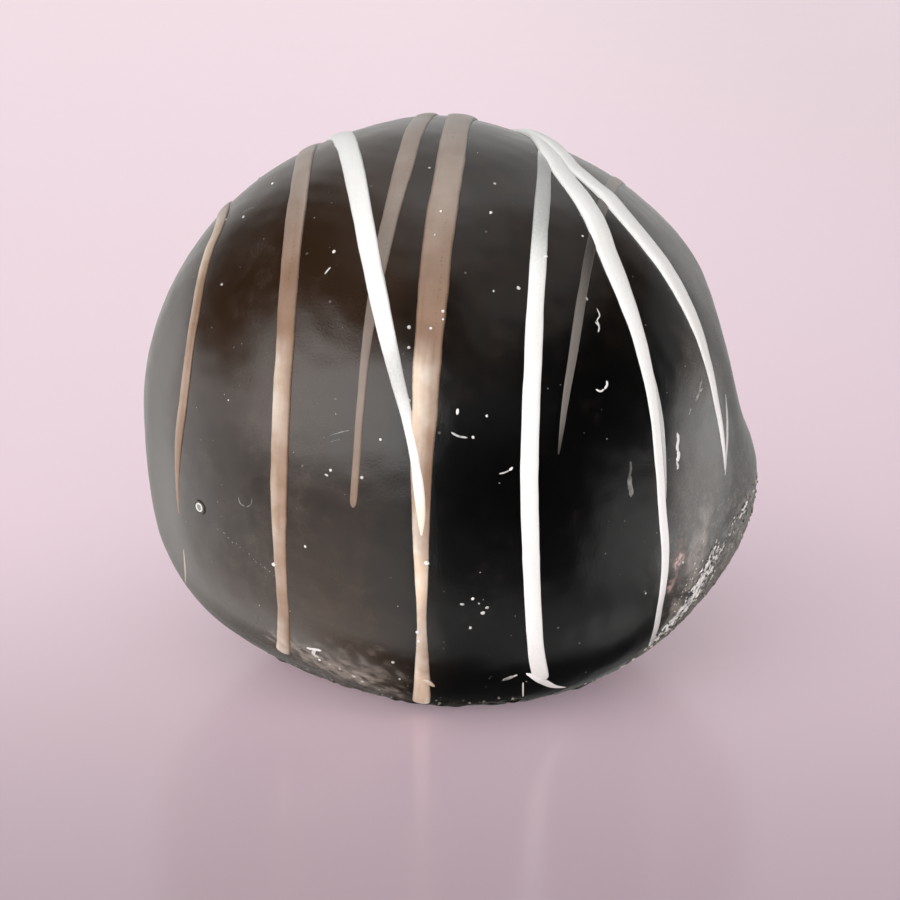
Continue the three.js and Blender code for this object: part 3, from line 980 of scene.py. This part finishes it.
def makeBubble():
    over, side = bubble["at"]
    at = onSkin([over], [side])
    normal = facing(at)[0]
    across = unitRows(np.cross(bubble["lean"], normal))
    axes = np.array([np.cross(normal, across), across, normal])
    sides = bubble["sides"]
    faces = [
        (a * sides + s, b * sides + s, b * sides + t, a * sides + t)
        for a, b in around(bubble["steps"]) for s, t in around(sides)
    ]
    rim = hoop(*bubble["rim"])
    none = {name: np.zeros(len(rim)) for name in ("crust", "stain", "powder")}
    newPiece("bubbleRim", at[0] + rim @ axes, faces, darkFinish, none)
    # a painted highlight: a white lip and a grey dome stand for the light on the bubble's glassy skin
    paintedLipHighlight = hoop(*bubble["paintedLipHighlight"])
    ways, domeFaces = geodesic(8)
    points, faces, values = joined([
        (paintedLipHighlight, faces, {"tone": np.ones(len(paintedLipHighlight))}),
        (ways * np.array(bubble["dome"]), domeFaces.tolist(), {"tone": np.full(len(ways), 0.35)}),
    ])
    newPiece("bubblePaintedHighlight", at[0] + points @ axes, faces, dustAndHighlightFinish, values)


makeDust()
makeBeadsAndHighlights()
makeScuffsAndHighlights()
makeChips()
makePaintedGlints()
makeBubble()


# Camera, floor and light

camera = {
    "lens": 120,
    "elevation": 15,
    "distance": 157.8,  # mm
    "ballRight": -0.21,  # mm that the ball's centre is off the middle of the picture
    "ballUp": 1.83,
}


def makeCamera():
    tip = math.radians(camera["elevation"])
    ahead = np.array([0, math.cos(tip), -math.sin(tip)])
    up = np.array([0, math.sin(tip), math.cos(tip)])
    aim = ballCentre - np.array([1, 0, 0]) * camera["ballRight"] - up * camera["ballUp"]
    data = bpy.data.cameras.new("camera")
    data.lens = camera["lens"]
    data.sensor_width = 36
    data.clip_start, data.clip_end = 0.01, 10
    made = bpy.data.objects.new("camera", data)
    made.location = Vector((aim - ahead * camera["distance"]) * mm)
    made.rotation_euler = (math.radians(90 - camera["elevation"]), 0, 0)
    bpy.context.scene.collection.objects.link(made)
    bpy.context.scene.camera = made


def floorSockets(tree):
    place = benchPlace(tree)
    # painted shade: the floor is darker near the front and to the right
    far = between(tree, axis(tree, place, "Y"), -48, 32)
    right = between(tree, axis(tree, place, "X"), -10, 60)
    colour = blendColour(tree, far, (0.43, 0.325, 0.368), (0.80, 0.61, 0.69))
    colour = blendColour(tree, right * 0.3, colour, (0.42, 0.32, 0.365))
    roughness = 0.22 + (cloud(tree, place, 0.05) - 0.5) * 0.05
    # what the floor throws up on the matt undersides is whiter than what is seen of it
    matt = addNode(tree, "ShaderNodeLightPath", output="Is Diffuse Ray")
    thrown = blendColour(tree, matt, colour, (1.6, 1.55, 1.5))
    return {"Base Color": colour, "Emission Color": thrown, "Roughness": roughness}


def makeFloor():
    size = 30.0  # metres from its middle to each side
    corners = [(-size, -size, 0), (size, -size, 0), (size, size, 0), (-size, size, 0)]
    fixed = {"IOR": 1.4, "Specular IOR Level": 0.2, "Emission Strength": 0.30}
    mesh = bpy.data.meshes.new("floor")
    mesh.from_pydata(corners, [], [(0, 1, 2, 3)])
    mesh.materials.append(newFinish("paleFloor", floorSockets, fixed))
    floor = bpy.data.objects.new("floor", mesh)
    floor.visible_glossy = False  # the ball mirrors the light tent below
    bpy.context.scene.collection.objects.link(floor)


tent = {
    # Matt things see a bright wall in front that fades overhead. Glossy ones mirror panels in a
    # dim room: each is its level, then its edges in degrees round from the front (left, right)
    # and up (low, high), then how soft they are.
    "matt": {"dim": 0.3, "glow": 3.8, "turn": -18, "tilt": 2, "focus": 2.5},
    "room": 0.022,
    "back": 0.75,
    "roof": 0.8,
    "warmth": 0.03,  # how much less blue than red there is in what glossy things mirror
    "shades": [
        (0.85, -148, -8, 16, 50, (8, 6, 8, 8)),  # a dark board over the window
        (0.25, 130, 172, -28, 0, (8, 8, 8, 8)),
    ],
    "panels": [
        (3.3, -80, -9.5, -6, 34, (20, 2, 10, 8)),  # the window at the front left
        (1.5, -136, -84, -24, 9, (14, 16, 10, 6)),
        (1.0, -148, -78, -64, -20, (16, 16, 12, 12)),
        (1.12, -82, -9.5, -78, -14, (16, 2, 12, 10)),
        (0.2, -8, 34, 8, 34, (3, 14, 10, 10)),
        (0.12, -8, 34, -58, -24, (3, 14, 10, 10)),
        (2.15, 95, 128, -32, 0, (8, 12, 6, 8)),  # the strip at the right
        (0.75, 92, 128, -11, 2, (8, 12, 6, 6)),
        (0.85, 60, 92, -38, -10, (10, 8, 8, 8)),
        (0.36, 86, 126, -58, -38, (10, 10, 8, 8)),
        (0.4, 96, 150, 2, 26, (10, 10, 8, 8)),
        (0.55, 14, 150, 42, 62, (10, 12, 8, 8)),
        (0.35, -8, 110, -80, -42, (4, 20, 14, 8)),
    ],
}


def makeWorld():
    world = bpy.data.worlds.new("tent")
    bpy.context.scene.world = world
    world.use_nodes = True
    world.cycles.sampling_method = "NONE"
    tree = world.node_tree
    tree.nodes.clear()
    way = addNode(tree, "ShaderNodeTexCoord", output="Generated")
    x, y, z = (axis(tree, way, name) for name in "XYZ")
    matt = tent["matt"]
    glowX, glowY, glowZ = (float(v) for v in bearing(matt["turn"], matt["tilt"]))
    toGlow = x * glowX + y * glowY + z * glowZ
    toGlow = toGlow.maths("MAXIMUM", toGlow, 0.0)
    even = matt["dim"] + matt["glow"] * toGlow.maths("POWER", toGlow, matt["focus"])
    turn = x.maths("ARCTAN2", x, y * -1.0) * math.degrees(1)
    tilt = z.maths("ARCSINE", z) * math.degrees(1)
    behind = between(tree, turn.maths("ABSOLUTE", turn), 116, 150) * between(tree, tilt, -45, -5)
    level = tent["room"] + behind * tent["back"]

    def edge(value, at, soft):
        return between(tree, value, at - soft, at + soft)

    def inside(left, right, low, high, soft):
        across = edge(turn, left, soft[0]) * edge(turn, right, -soft[1])
        return across * edge(tilt, low, soft[2]) * edge(tilt, high, -soft[3])

    for strength, *edges in tent["shades"]:
        level = level * (1.0 - inside(*edges) * strength)
    level = level + between(tree, tilt, 54, 82) * tent["roof"]
    for strength, *edges in tent["panels"]:
        level = level + inside(*edges) * strength
    glossy = addNode(tree, "ShaderNodeLightPath", output="Is Glossy Ray")
    seen = even + glossy * (level - even)
    cooler = glossy * level * tent["warmth"]
    shares = {"Red": seen, "Green": seen - cooler * 0.45, "Blue": seen - cooler}
    colour = addNode(tree, "ShaderNodeCombineColor", {}, shares)
    background = addNode(tree, "ShaderNodeBackground", {}, {"Color": colour, "Strength": 1.0})
    addNode(tree, "ShaderNodeOutputWorld", {}, {"Surface": background})


makeCamera()
makeFloor()
makeWorld()
bpy.context.scene.view_settings.view_transform = "Standard"
print("camera, floor and light made")
